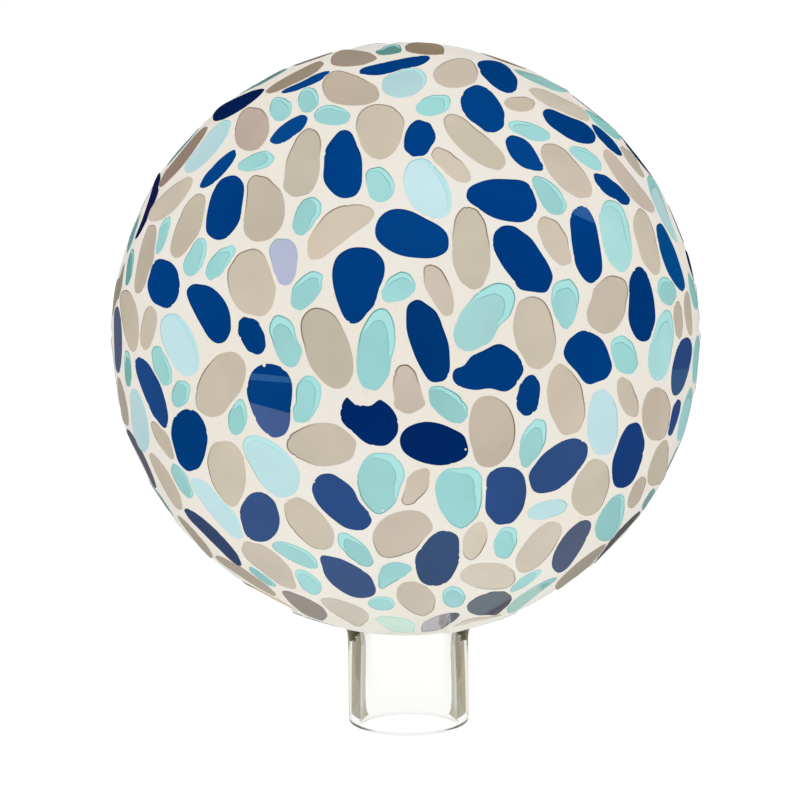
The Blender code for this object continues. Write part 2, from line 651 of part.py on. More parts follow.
def build_globe():
    clear_scene()
    materials = {name: make_material(name, 0.12) for name in hidden_mix}
    materials["grout"] = make_material("grout", 0.75)
    materials["glass"] = make_material("glass", 0.05, 1.0)
    globe = bpy.data.objects.new("globe", None)
    bpy.context.scene.collection.objects.link(globe)
    seen, hidden = lay_tiles()
    facing = [FlatTile(outline, separate_corners) for _, outline in seen]
    # The largest tiles that face the camera are pieces of their own.
    worth = [tile.area * (tile.centre @ toward_camera > facing_share) for tile in facing]
    chosen = sorted(np.argsort(worth)[::-1][:separate_tiles])
    separate = [facing[k] for k in chosen]
    rest = [outline for k, (_, outline) in enumerate(seen) if k not in chosen]
    rest += [outline for _, outline in hidden]
    joined = [FlatTile(outline, joined_corners, evened=True) for outline in rest]
    keep_clear(separate + joined)
    add_object("glass_globe", make_glass(), materials["glass"], globe)
    add_object("grout", make_grout(separate, joined), materials["grout"], globe)
    numbers = dict.fromkeys(hidden_mix, 0)
    for tile, k in zip(separate, chosen):
        colour = seen[k][0]
        numbers[colour] += 1
        name = f"{colour}_tile_{numbers[colour]:02d}"
        place_tile(add_object(name, make_tile(tile, name), materials[colour], globe), tile)


build_globe()
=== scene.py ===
import math

import bmesh
import bpy
import numpy as np
from mathutils import Matrix, Vector


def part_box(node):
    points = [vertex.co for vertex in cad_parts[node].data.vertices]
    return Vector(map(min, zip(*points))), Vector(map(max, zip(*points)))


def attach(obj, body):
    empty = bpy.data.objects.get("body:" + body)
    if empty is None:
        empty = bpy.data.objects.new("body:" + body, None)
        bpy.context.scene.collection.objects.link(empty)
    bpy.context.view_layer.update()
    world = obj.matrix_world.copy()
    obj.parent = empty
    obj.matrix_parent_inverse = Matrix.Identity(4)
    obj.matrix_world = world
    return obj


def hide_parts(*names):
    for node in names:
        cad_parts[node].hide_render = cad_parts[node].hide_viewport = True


# Mosaic gazing globe: flat glass tiles in cream grout on a blown glass ball with a clear neck.
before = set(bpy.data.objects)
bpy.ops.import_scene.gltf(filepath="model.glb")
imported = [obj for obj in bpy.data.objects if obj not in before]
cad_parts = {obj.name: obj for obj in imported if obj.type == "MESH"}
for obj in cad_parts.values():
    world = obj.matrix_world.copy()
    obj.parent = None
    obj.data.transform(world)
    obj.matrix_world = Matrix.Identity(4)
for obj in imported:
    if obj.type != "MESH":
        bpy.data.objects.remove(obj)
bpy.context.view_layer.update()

# How the photograph was taken: picture pixels, degrees, the camera's distance in ball radii, its
# sensor's width in millimetres, and the nearest it sees in metres
picture = {
    "centre": (405.7, 337.0),
    "radius": 293.7,
    "roll": 0.46,
    "elevation": 7.3,
    "distance": 9.45,
    "size": 800,
    "sensor": 36,
    "nearest": 0.05,
}

# The globe's own sizes in metres, as the solids have them
globe = {
    "ballRadius": 0.127,
    "glassRadius": 0.1224,
    "glassWall": 0.0023,
    "neckRadius": 0.0265,
    "boreRadius": 0.02135,
    "neckLength": 0.0363,
    "flareRadius": 0.020,
    "collarReach": 0.004,
    "collarSwell": 0.0022,
    "collarEdge": 0.0013,
    "collarSpread": 0.022,
    "collarFlat": 0.25,
    "fitGap": 0.0003,
}
ballRadius = globe["ballRadius"]
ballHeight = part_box("glass_globe")[1].z - globe["glassRadius"]
collarRadius = globe["neckRadius"] + globe["collarReach"]
collarAngle = math.asin(collarRadius / (ballRadius + globe["collarSwell"]))

# The tiles that show in the photograph, read one by one. Each row gives the two ends of a tile in
# picture pixels, its width there, how much fatter the first end is, and how far its middle bows.
tileRows = {
    "navy": [
        (213, 120, 264, 89, 12), (236, 151, 201, 188, 13), (236, 176, 215, 240, 36),
        (282, 93, 331, 72, 8), (359, 73, 430, 59, 13, .05), (307, 117, 271, 143, 16, .05),
        (345, 131, 347, 199, 40, -.12, 4), (424, 121, 414, 157, 32), (466, 89, 500, 130, 36),
        (477, 63, 516, 90, 23, -.35, -2), (543, 111, 595, 141, 22), (508, 138, 542, 171, 22, .3),
        (592, 125, 622, 156, 9), (162, 174, 136, 240, 6), (594, 174, 629, 204, 15),
        (161, 259, 166, 308, 33), (192, 285, 223, 343, 33, 0, -5), (244, 316, 260, 354, 24),
        (376, 224, 450, 246, 46, .15), (362, 247, 353, 324, 50, .35), (414, 300, 440, 383, 37, 0, -2),
        (466, 193, 538, 205, 42, -.25), (497, 228, 546, 288, 40, -.1), (579, 206, 593, 284, 30),
        (658, 223, 682, 291, 15), (638, 267, 644, 342, 28, -.12), (574, 334, 602, 381, 45),
        (687, 337, 675, 396, 17), (452, 378, 523, 364, 42, -.25), (532, 375, 525, 416, 23),
        (679, 399, 669, 436, 8, .1), (400, 438, 469, 450, 42, .05), (585, 443, 531, 489, 38),
        (636, 422, 618, 488, 28, 0, -2), (508, 466, 501, 525, 44, .14), (640, 510, 593, 565, 6),
        (588, 520, 554, 571, 22, .05), (450, 531, 427, 583, 43, -.08), (512, 597, 467, 609, 21),
        (460, 614, 421, 629, 13), (282, 592, 327, 617, 14), (323, 560, 374, 591, 29, -.05, 3),
        (185, 508, 242, 565, 12), (128, 428, 157, 488, 5), (256, 492, 263, 542, 40),
        (317, 477, 368, 527, 37, .15, 2), (187, 409, 192, 471, 36, .15), (139, 357, 166, 428, 19),
        (266, 364, 278, 438, 46, .25), (344, 400, 395, 438, 46), (118, 306, 119, 373, 7),
    ],
    "taupe": [
        (158, 189, 208, 127, 9), (258, 108, 246, 151, 34, -.05), (192, 178, 150, 221, 19),
        (202, 194, 175, 258, 24), (154, 224, 138, 294, 16), (126, 290, 134, 352, 17),
        (152, 306, 145, 350, 15, .1), (259, 175, 258, 242, 42, -.12, -6),
        (248, 249, 259, 317, 48, .03, 2), (266, 93, 324, 63, 11), (330, 61, 377, 57, 15),
        (404, 48, 447, 51, 11), (322, 84, 380, 96, 32, .2), (295, 198, 312, 129, 35, .15),
        (381, 105, 379, 160, 48, .25), (433, 76, 479, 72, 29), (445, 117, 504, 168, 28),
        (431, 149, 470, 181, 20), (504, 103, 535, 105, 15), (529, 89, 590, 120, 15),
        (543, 145, 589, 197, 29), (620, 146, 644, 178, 7), (603, 150, 653, 213, 15),
        (638, 209, 656, 275, 20), (373, 210, 309, 258, 33, 0, 9), (312, 308, 342, 388, 46),
        (468, 206, 474, 290, 39), (542, 217, 568, 265, 25), (428, 264, 450, 315, 23),
        (529, 296, 540, 369, 42, .05), (618, 276, 598, 333, 40), (677, 301, 679, 339, 9),
        (686, 291, 690, 336, 7), (403, 364, 411, 414, 28, -.05), (487, 395, 488, 467, 47, 0, -5),
        (561, 363, 570, 435, 37, 0, -1), (621, 377, 634, 417, 18), (657, 387, 655, 441, 29, .05),
        (666, 440, 651, 486, 16, .05), (427, 469, 404, 504, 22), (600, 459, 582, 515, 35),
        (644, 476, 629, 508, 12), (608, 543, 555, 588, 10), (559, 523, 518, 571, 27, .1),
        (482, 522, 467, 559, 23), (432, 522, 374, 547, 43, -.05, 2), (460, 575, 516, 577, 27),
        (398, 587, 434, 608, 30), (321, 600, 369, 620, 17, -.05), (243, 543, 297, 586, 24, .1),
        (216, 555, 277, 595, 7), (178, 515, 213, 557, 6), (151, 453, 182, 510, 12),
        (287, 500, 331, 547, 33), (287, 443, 357, 446, 44), (222, 440, 233, 507, 37, .2),
        (153, 421, 174, 459, 12, .05), (119, 377, 128, 426, 6), (237, 353, 205, 415, 43),
    ],
    "aqua": [
        (274, 156, 238, 168, 17, .2), (375, 53, 403, 49, 8), (284, 98, 277, 121, 22, .1),
        (311, 88, 306, 113, 21), (350, 117, 313, 114, 20, .1), (373, 167, 386, 201, 28, -.15),
        (416, 110, 451, 101, 20), (512, 70, 569, 92, 8), (508, 124, 550, 138, 16),
        (584, 110, 620, 140, 7), (569, 148, 601, 170, 14, 0, -2), (533, 177, 563, 213, 23, -.2),
        (609, 199, 623, 272, 30), (647, 176, 676, 243, 9), (688, 273, 696, 310, 5),
        (663, 277, 670, 305, 18), (169, 216, 156, 255, 10), (203, 238, 188, 276, 19, -.05),
        (235, 247, 208, 279, 18, 0, 2), (133, 249, 127, 286, 6), (316, 198, 297, 235, 24, .15),
        (321, 273, 295, 309, 25, 0, 2), (414, 279, 380, 297, 27, .15), (277, 315, 294, 367, 27),
        (382, 308, 370, 391, 38), (510, 286, 459, 348, 44), (564, 279, 566, 329, 27, .3),
        (667, 310, 656, 381, 23, -.15), (617, 336, 630, 374, 26), (697, 335, 693, 384, 5),
        (430, 388, 466, 420, 27, -.05), (691, 387, 678, 441, 8), (541, 419, 524, 467, 23, .1),
        (460, 465, 461, 528, 49, .25), (622, 494, 600, 540, 23, -.1), (654, 488, 642, 510, 6),
        (511, 526, 500, 558, 22), (541, 570, 510, 591, 9), (557, 577, 506, 610, 9),
        (442, 595, 465, 598, 21), (368, 602, 395, 604, 14), (294, 571, 321, 592, 17),
        (273, 543, 319, 566, 16), (249, 567, 276, 586, 8), (173, 464, 192, 498, 13, .05),
        (338, 534, 372, 565, 19), (379, 585, 409, 568, 20, 0, -5), (385, 452, 376, 513, 47, .1),
        (156, 346, 168, 386, 17), (184, 380, 178, 407, 18), (127, 350, 129, 387, 7),
        (314, 375, 298, 423, 28), (239, 398, 236, 435, 19),
    ],
    "pale": [
        (230, 121, 186, 173, 18), (382, 88, 426, 77, 30), (413, 160, 442, 219, 43),
        (168, 314, 192, 376, 32), (601, 389, 601, 456, 31, 0, -2), (567, 504, 527, 515, 18),
        (376, 619, 416, 628, 14), (193, 478, 243, 538, 20), (246, 437, 294, 494, 39, -.2, -1.5),
        (134, 388, 145, 452, 16), (282, 238, 285, 286, 29, .2),
    ],
}
# Painted reflections: parts of a tile in another tone, where a reflection lies on it, by the tile's first
# end.
# Each is a line in picture pixels, and the tone to the left of it on the way from its first point to its
# second.
paintedReflectionBands = {
    (266, 364): [
        (284, 412, 248, 402, (72, 96, 150)), (252, 380, 290, 383, (44, 92, 152)),
        (252, 373, 290, 377, (0, 60, 130)),
    ],
    (579, 206): [(572, 214, 600, 226, (44, 90, 152))],
    (687, 337): [(698, 366, 664, 370, (36, 84, 134))],
    (460, 614): [(450, 604, 445, 632, (46, 56, 96))],
}
# Tiles with no painted light crescent
evenTiles = [(282, 238), (376, 619), (601, 389), (567, 504), (379, 585)]
# Bits of grout left on the tiles: where each shows, and its radius, in picture pixels
specks = [
    (265, 365, 1.8), (427, 381, 1.5), (314, 481, 1.5), (594, 450, 1.8), (602, 454, 1.3), (657, 378, 1.4),
    (366, 392, 1.8), (383, 510, 1.2), (580, 518, 1.3), (287, 501, 1.2), (432, 165, 1.4), (466, 449, 1.6),
]
# Slivers of tiles on the ball's outline: where each shows, and its colour
rimRows = [
    (260, 85, "aqua"), (291, 68, "taupe"), (184, 146, "aqua"), (134, 233, "aqua"), (119, 296, "taupe"),
    (501, 60, "taupe"), (579, 100, "navy"), (631, 150, "navy"), (689, 263, "navy"),
]
# Round bites out of tile edges, by the tile's first end: centre in picture pixels, then the bite's
# radius in the plain outline and in the fine one
bites = {(344, 400): (364, 390, 13, 15), (379, 585): (404, 591, 16, 15)}
# Small lobes, notches and cut corners, by the tile's first end. Each gives a spot on the edge in
# picture pixels, how far it moves across and down, and how far along the edge that reaches.
pulls = {
    (321, 273): [(331, 282, -6, 0, 11), (303, 301, -3, -2, 6)],
    (277, 315): [(299, 336, -3, 0, 8), (303, 350, 4, -1, 8)],
    (382, 308): [(394, 362, -5, 0, 7)],
    (373, 210): [(303, 255, 2, 5, 8), (318, 266, 0, -4, 9)],
    (452, 378): [(490, 390, 0, -6, 12), (506, 390, 0, 5, 10), (498, 350, 0, -5, 13), (462, 362, 3, 4, 10)],
    (403, 364): [(420, 402, 6, 1, 8), (396, 406, -4, 2, 9), (414, 378, -2, 0, 8)],
    (287, 443): [(299, 465, 0, -3, 17), (299, 424, 0, 3, 17)],
    (510, 286): [(506, 330, -5, -4, 15)],
    (466, 89): [(456, 84, 6, 6, 11)],
    (317, 477): [(358, 500, -4, 3, 9), (371, 518, 3, 2, 8)],
    (460, 465): [(460, 463, 0, 5, 9)],
    (376, 224): [(376, 250, 2, -4, 10)],
    (579, 206): [(572, 232, 3, 0, 8)],
    (497, 228): [(546, 291, 4, 5, 10), (522, 288, -5, 4, 12), (514, 222, 4, -2, 12)],
    (323, 560): [(323, 556, -4, -5, 10), (372, 594, 3, 2, 9)],
    (379, 585): [(410, 566, 4, -1, 9), (380, 592, -1, 3, 9)],
    (450, 531): [(463, 533, 3, -4, 12), (424, 584, -3, 1, 12)],
    (192, 285): [(184, 318, 4, -2, 10)],
    (259, 175): [(240, 206, -3, 0, 12)],
    (618, 276): [(590, 300, 4, 0, 10)],
    (404, 48): [(449, 52, -4, 3, 6)],
}

# How the tiles lie. The lengths of the hidden side's rules are in ball radii.
layout = {
    "plainPoints": 24,
    "finePoints": 72,
    "radiusSteps": 36,
    "fineSteps": 72,
    "tiles": 400,
    "squareness": 2.35,
    "fineSquareness": 2.15,
    "joint": 0.0015 / 0.127,
    "openings": 8,
    "deepestOverlap": 6,
    "hiddenMix": {"navy": 0.28, "taupe": 0.36, "aqua": 0.29, "pale": 0.07},
    "hiddenJoint": 2.4,
    "edgeJoint": 2.0,
    "seedScatter": 0.035,
    "seedRoom": 0.05,
    "rimRoom": 0.035,
    "rimSpacing": 0.09,
    "rimSetback": 0.05,
    "collarRoom": 0.06,
    "longestSpine": 0.075,
    "widestHalf": 0.085,
    "longestReach": 0.17,
    "shortestReach": 0.004,
    "nearSeeds": 0.415,
    "nearOutlines": 0.1936,
    "evenings": 6,
    "limbShare": 0.985,
    "limbLimit": 0.998,
    "limbOverhang": 0.035,
    "smoothings": 6,
    "growSmoothing": 12,
    "seed": 7,
}

# The camera's view of the ball
lean = math.radians(picture["elevation"])
towardCamera = np.array([0.0, -math.cos(lean), math.sin(lean)])
pictureRight = np.array([1.0, 0.0, 0.0])
pictureUp = np.cross(towardCamera, pictureRight)
limbSlope = math.sqrt(picture["distance"] ** 2 - 1)
pictureFocal = picture["radius"] * limbSlope
tiny = 1e-6  # a length that counts as none


def unit(vectors):
    return vectors / np.linalg.norm(vectors, axis=-1, keepdims=True)


def eased(share):
    # From 0 to 1 with a soft start and end
    return share * share * (3 - 2 * share)


def softened(ring):
    # Each value moved towards its two neighbours round a ring
    return (np.roll(ring, 1, axis=0) + 2 * ring + np.roll(ring, -1, axis=0)) / 4


def onBall(pixels):
    # Directions from the ball's centre to picture points, and how far each is out to the ball's outline
    offset = np.asarray(pixels, float) - picture["centre"]
    roll = math.radians(picture["roll"])
    across = (offset[:, 0] * math.cos(roll) - offset[:, 1] * math.sin(roll)) / pictureFocal
    down = (offset[:, 0] * math.sin(roll) + offset[:, 1] * math.cos(roll)) / pictureFocal
    share = np.hypot(across, down) * limbSlope
    pull = (layout["limbLimit"] / np.maximum(share, layout["limbLimit"]))[:, None]
    ray = pull * (across[:, None] * pictureRight - down[:, None] * pictureUp) - towardCamera
    square = (ray ** 2).sum(1)
    near = picture["distance"] - np.sqrt(picture["distance"] ** 2 - square * limbSlope ** 2)
    return picture["distance"] * towardCamera + (near / square)[:, None] * ray, share


def pixelOutline(row, count):
    # A squared-off ellipse between the row's two ends
    x1, y1, x2, y2, width = row[:5]
    fatter = row[5] if len(row) > 5 else 0.0
    bow = row[6] if len(row) > 6 else 0.0
    first = np.array([x1, y1], float)
    half = (np.array([x2, y2], float) - first) / 2
    side = np.array([-half[1], half[0]]) / np.hypot(*half)
    angle = np.linspace(0, 2 * math.pi, count, endpoint=False)
    power = 2 / layout["fineSquareness" if count == layout["finePoints"] else "squareness"]
    along = np.sign(np.cos(angle)) * np.abs(np.cos(angle)) ** power
    aside = np.sign(np.sin(angle)) * np.abs(np.sin(angle)) ** power
    shift = aside * width / 2 * (1 - fatter * along) + bow * (1 - along ** 2)
    points = first + half + along[:, None] * half + shift[:, None] * side
    if (x1, y1) in bites and count == layout["plainPoints"]:
        x, y, radius, _ = bites[x1, y1]
        away = points - (x, y)
        distance = np.hypot(away[:, 0], away[:, 1])
        inside = distance < radius
        points[inside] += away[inside] * (radius / distance[inside] - 1)[:, None]
    if count == layout["finePoints"]:
        for x, y, across, down, reach in pulls.get((x1, y1), []):
            near = np.clip(1 - np.hypot(points[:, 0] - x, points[:, 1] - y) / reach, 0, 1)
            points += eased(near)[:, None] * (across, down)
    return points


def seenTile(row, count):
    # A tile's outline on the ball. The end of a tile past the ball's own outline is rounded off.
    outline, share = onBall(pixelOutline(row, count))
    past = np.flatnonzero(share > layout["limbShare"])
    if 0 < len(past) < count:
        start = next(k for k in past if (k - 1) % count not in past)
        run = [(start + k) % count for k in range(len(past))]
        arch = np.sin(np.linspace(0, math.pi, len(run) + 2)[1:-1])
        outline[run] = outline[run] - layout["limbOverhang"] * arch[:, None] * towardCamera
    return unit(outline)


def openJoints(tiles):
    # Draws in the outlines until neighbours stand a joint apart
    joint = layout["joint"]
    outlines = [outline for _, outline in tiles]
    for _ in range(layout["openings"]):
        centres = np.array([unit(outline.mean(0)) for outline in outlines])
        reach = np.array([np.linalg.norm(o - c, axis=1).max() for o, c in zip(outlines, centres)])
        drawn = []
        for index, outline in enumerate(outlines):
            distance = np.linalg.norm(centres - centres[index], axis=1)
            inward = unit(centres[index] - outline)
            push = np.zeros(len(outline))
            for other in np.flatnonzero(distance < reach + reach[index] + joint):
                if other == index:
                    continue
                gap, foot = edgeGaps(outline, outlines[other])
                toCentre = np.linalg.norm(outline - centres[other], axis=1)
                overlaps = toCentre < np.linalg.norm(foot - centres[other], axis=1)
                lack = np.where(overlaps, joint + gap, joint - gap)
                lack[gap > layout["deepestOverlap"] * joint] = 0
                push += np.clip(lack, 0, None) / 2
            drawn.append(unit(outline + inward * push[:, None]))
        outlines = drawn
    return [(colour, outline) for (colour, _), outline in zip(tiles, outlines)]


def edgeGaps(points, outline):
    # How far points are from an outline's edges, and the nearest spot on them
    edges = np.roll(outline, -1, axis=0) - outline
    share = ((points[:, None] - outline) * edges).sum(2) / (edges ** 2).sum(1)
    feet = outline + np.clip(share, 0, 1)[..., None] * edges
    gaps = np.linalg.norm(points[:, None] - feet, axis=2)
    return gaps.min(1), feet[np.arange(len(points)), gaps.argmin(1)]


def tangents(centre):
    # Two directions along the ball at a spot, the second one upwards
    side = np.cross([0.0, 0.0, 1.0], centre)
    side = unit(side) if np.linalg.norm(side) > tiny else np.array([1.0, 0.0, 0.0])
    return side, np.cross(centre, side)


def growOutlines(seeds, spines, fixed, angleCount, radiusCount):
    # The outline round each seed and its spine, out to a joint's width from its neighbours
    joint = layout["joint"]
    angles = np.linspace(0, 2 * math.pi, angleCount, endpoint=False)
    radii = np.linspace(layout["shortestReach"], layout["longestReach"], radiusCount)
    sites = np.stack([unit(seeds - spines), seeds, unit(seeds + spines)], axis=1)
    outlines = []
    for index, seed in enumerate(seeds):
        side, up = tangents(seed)
        spokes = np.cos(angles)[:, None] * side + np.sin(angles)[:, None] * up
        points = unit(seed + radii[None, :, None] * spokes[:, None, :])
        near = np.linalg.norm(seeds - seed, axis=1) < layout["nearSeeds"]
        near[index] = False
        own = np.linalg.norm(points[:, :, None] - sites[index], axis=3).min(2)
        others = np.linalg.norm(points[:, :, None] - sites[near].reshape(-1, 3), axis=3).min(2)
        free = (own < layout["widestHalf"]) & (others - own > layout["hiddenJoint"] * joint)
        free &= points[..., 2] > -math.cos(collarAngle + joint)
        close = fixed[np.linalg.norm(fixed - seed, axis=1) < layout["nearOutlines"]]
        if len(close):
            gap = np.linalg.norm(points[:, :, None] - close, axis=3).min(2)
            free &= gap > layout["edgeJoint"] * joint
        clear = np.logical_and.accumulate(free, axis=1).sum(1)
        reach = radii[np.maximum(clear - 1, 0)]
        for _ in range(angleCount // layout["growSmoothing"]):
            reach = softened(reach)
        outlines.append(unit(seed + reach[:, None] * spokes))
    return outlines


def isInside(spot, outline):
    side, up = tangents(spot)
    turn = np.arctan2(outline @ up, outline @ side)
    steps = (np.roll(turn, -1) - turn + math.pi) % (2 * math.pi) - math.pi
    return abs(steps.sum()) > math.pi


def freeRoom(spot, tiles):
    # How far a spot is from the nearest tile's outline, or nothing where it is inside a tile
    room = 2.0
    for _, outline in tiles:
        gap = np.linalg.norm(outline - spot, axis=1).min()
        if outline.mean(0) @ spot > 0 and isInside(spot, outline):
            return 0.0
        room = min(room, gap)
    return room


def hiddenTiles(seen):
    # Tiles of the same kind over the rest of the ball, evened out by moving each to its middle
    random = np.random.default_rng(layout["seed"])
    corners = np.concatenate([outline for _, outline in seen])
    halfway = np.concatenate([(o + np.roll(o, -1, axis=0)) / 2 for _, o in seen])
    fixed = np.concatenate([corners, unit(halfway)])
    order = np.arange(layout["tiles"]) + 0.5
    height = 1 - 2 * order / layout["tiles"]
    turn = order * math.pi * (3 - math.sqrt(5))
    ring = np.sqrt(1 - height ** 2)
    spread = np.stack([ring * np.cos(turn), ring * np.sin(turn), height], axis=1)
    spread = unit(spread + random.normal(0, layout["seedScatter"], spread.shape))
    rim, _ = onBall([row[:2] for row in rimRows])
    rim = unit(rim - layout["rimSetback"] * towardCamera)
    room = np.array([freeRoom(spot, seen) for spot in rim])
    rimColours = [row[2] for row, free in zip(rimRows, room) if free > layout["rimRoom"]]
    rim = rim[room > layout["rimRoom"]]
    room = np.array([freeRoom(spot, seen) for spot in spread])
    fromRim = np.linalg.norm(spread[:, None] - rim, axis=2).min(1)
    kept = (room > layout["seedRoom"]) & (fromRim > layout["rimSpacing"])
    kept &= spread[:, 2] > -math.cos(collarAngle + layout["collarRoom"])
    seeds = np.concatenate([rim, spread[kept]])
    spines = []
    for seed in seeds:
        side, up = tangents(seed)
        turn = random.uniform(0, math.pi)
        spine = math.cos(turn) * side + math.sin(turn) * up
        spines.append(spine * random.uniform(0, layout["longestSpine"]))
    spines = np.array(spines)
    for _ in range(layout["evenings"]):
        outlines = growOutlines(seeds, spines, fixed, layout["plainPoints"] // 2, layout["radiusSteps"] // 2)
        seeds = np.array([unit(outline.mean(0)) for outline in outlines])
    names = list(layout["hiddenMix"])
    outlines = growOutlines(seeds, spines, fixed, layout["finePoints"], layout["fineSteps"])
    shares = np.array(list(layout["hiddenMix"].values()))
    drawn = random.choice(names, size=len(seeds), p=shares / shares.sum())
    colours = rimColours + list(drawn[len(rimColours):])
    return list(zip(colours, outlines))


def layTiles():
    rows = [(colour, row) for colour, group in tileRows.items() for row in group]
    plain = openJoints([(colour, seenTile(row, layout["plainPoints"])) for colour, row in rows])
    fine = openJoints([(colour, seenTile(row, layout["finePoints"])) for colour, row in rows])
    plain = [(colour, outsideCollar(outline)) for colour, outline in plain]
    keys = [row[:2] for _, row in rows]
    seen = [(colour, outsideCollar(smoothed(outline, key))) for (colour, outline), key in zip(fine, keys)]
    hidden = hiddenTiles(plain)
    keys += [None] * len(hidden)
    return [(colour, outline, key) for (colour, outline), key in zip(seen + hidden, keys)]


def smoothed(outline, key):
    # An outline with its corners softened, and then its bite cut out
    for _ in range(layout["smoothings"]):
        outline = unit(softened(outline))
    if key in bites:
        x, y, _, radius = bites[key]
        middle, _ = onBall([(x, y)])
        radius /= picture["radius"]
        away = outline - middle
        distance = np.linalg.norm(away, axis=1)
        inward = unit(unit(outline.mean(0)) - outline)
        along = (away * inward).sum(1)
        reach = np.sqrt(np.maximum(along ** 2 + radius ** 2 - distance ** 2, 0)) - along
        outline = unit(outline + inward * np.where(distance < radius, reach, 0)[:, None])
    return outline


def outsideCollar(outline):
    # Moves any point of an outline that lies over the neck's hole out past its edge
    cosine = math.cos(collarAngle + layout["joint"])
    level = np.hypot(outline[:, 0], outline[:, 1])
    over = (outline[:, 2] < 0) & (level < math.sqrt(1 - cosine ** 2))
    moved = outline.copy()
    moved[over, :2] *= (math.sqrt(1 - cosine ** 2) / level[over])[:, None]
    moved[over, 2] = -cosine
    return moved


# The mosaic's face
def glassReach(angle):
    # How far the glass is from the ball's centre, at an angle up from straight down
    toCentre = globe["glassRadius"] + globe["flareRadius"]
    flareAngle = math.asin((globe["neckRadius"] + globe["flareRadius"]) / toCentre)
    along = toCentre * np.cos(np.minimum(angle, flareAngle) - flareAngle)
    inner = along - np.sqrt(np.maximum(along ** 2 - toCentre ** 2 + globe["flareRadius"] ** 2, 0))
    return np.where(angle >= flareAngle, globe["glassRadius"], inner)


def faceReach(directions):
    # How far the mosaic's face is from the ball's centre. It swells out to a collar round the neck.
    angle = np.arccos(np.clip(-directions[..., 2], -1, 1))
    out = (np.sin(angle) * ballRadius - collarRadius) / globe["collarSpread"]
    out = np.where(directions[..., 2] < 0, out, 1.0)
    fall = np.clip((out - globe["collarFlat"]) / (1 - globe["collarFlat"]), 0, 1)
    swell = globe["collarSwell"] * (1 - eased(fall))
    return np.maximum(ballRadius + swell, glassReach(angle) + globe["fitGap"] + globe["collarEdge"])


# Each flat tile, in metres
tileShape = {
    "thickness": 0.003,
    "proud": 0.0002,
    "wobble": 0.00036,
    "waves": (3, 12),
    "nipDepth": 0.00045,
    "leastNip": 0.3,
    "nips": {"navy": 3, "taupe": 1, "aqua": 1, "pale": 1},
    "arris": [(0.00008, 0.00006), (0.00012, 0.00004)],
    # The width of the band that carries the painted shade line
    "lineWidth": 0.00036,
    "paintedLightCrescent": {"aqua": 0.30, "pale": 0.14},
    "crescentLeast": 0.05,
    "crescentFall": 1.3,
    "crescentEdge": 2.5,
    "crescentInset": 0.0001,
    "crescentShadeLine": 0.0005,
    "crescentTurn": 55,
    "crescentSpread": 35,
    "upwardShare": 0.35,
    "seed": 11,
}


def workedOutline(flat, colour, random):
    # Slightly wavy, with a few nips along the edge
    count = len(flat)
    turn = np.linspace(0, 2 * math.pi, count, endpoint=False)
    wave = np.zeros(count)
    for waves in range(*tileShape["waves"]):
        wave += random.normal() / waves * np.sin(waves * turn + random.uniform(0, 2 * math.pi))
    wave *= tileShape["wobble"]
    for _ in range(random.poisson(tileShape["nips"][colour])):
        k = random.integers(count)
        wave[k] -= tileShape["nipDepth"] * random.uniform(tileShape["leastNip"], 1)
    return flat + wave[:, None] * outwardNormals(flat)


def outwardNormals(flat):
    # Which way is out at each corner of a flat outline
    ahead = np.roll(flat, -1, axis=0) - np.roll(flat, 1, axis=0)
    return unit(np.stack([ahead[:, 1], -ahead[:, 0]], axis=1))


class FlatTile:
    # One tile: its plane, its corners there, its colour, and which way it is shaded
    def __init__(self, colour, outline, key, random):
        self.colour = colour
        self.key = key
        self.centre = unit(outline.mean(0))
        self.side, self.up = tangents(self.centre)
        self.tone = tileTone(self, random)
        face = float(faceReach(self.centre))
        self.height = face / (1 / (outline @ self.centre)).mean() + tileShape["proud"]
        points = outline * (self.height / (outline @ self.centre))[:, None]
        flat = np.stack([points @ self.side, points @ self.up], axis=1)
        area = (flat[:, 0] * np.roll(flat[:, 1], -1) - flat[:, 1] * np.roll(flat[:, 0], -1)).sum()
        if area < 0:
            flat = flat[::-1]
        self.corners = workedOutline(flat, colour, random)
        # The side of the tile that is away from the camera, in its own plane, tipped a little upwards. A
        # painted shade line runs along the edge there, standing in for the tile's wall seen through its
        # glass.
        away = np.array([-towardCamera @ self.side, -towardCamera @ self.up])
        away += tileShape["upwardShare"] * np.array([self.side[2], self.up[2]])
        self.away = unit(away) if np.linalg.norm(away) > tiny else np.array([0.0, 1.0])
        # The side of the tile that its painted light crescent is on: most often up and to the right, where
        # the light comes from
        turn = math.radians(random.normal(tileShape["crescentTurn"], tileShape["crescentSpread"]))
        self.shine = np.array([math.cos(turn), math.sin(turn)])

    def place(self, flat, height):
        return flat[:, :1] * self.side + flat[:, 1:] * self.up + height * self.centre


def only(kind, items):
    return [item for item in items if isinstance(item, kind)]


def toMesh(shape, name, material):
    # A finished piece, with its place in its mesh
    mesh = bpy.data.meshes.new(name)
    shape.to_mesh(mesh)
    shape.free()
    mesh.materials.append(material)
    piece = bpy.data.objects.new(name, mesh)
    bpy.context.scene.collection.objects.link(piece)
    return piece


def ballPoint(spot):
    # Where a spot measured from the ball's centre is in the scene
    return Vector(spot) + Vector((0, 0, ballHeight))


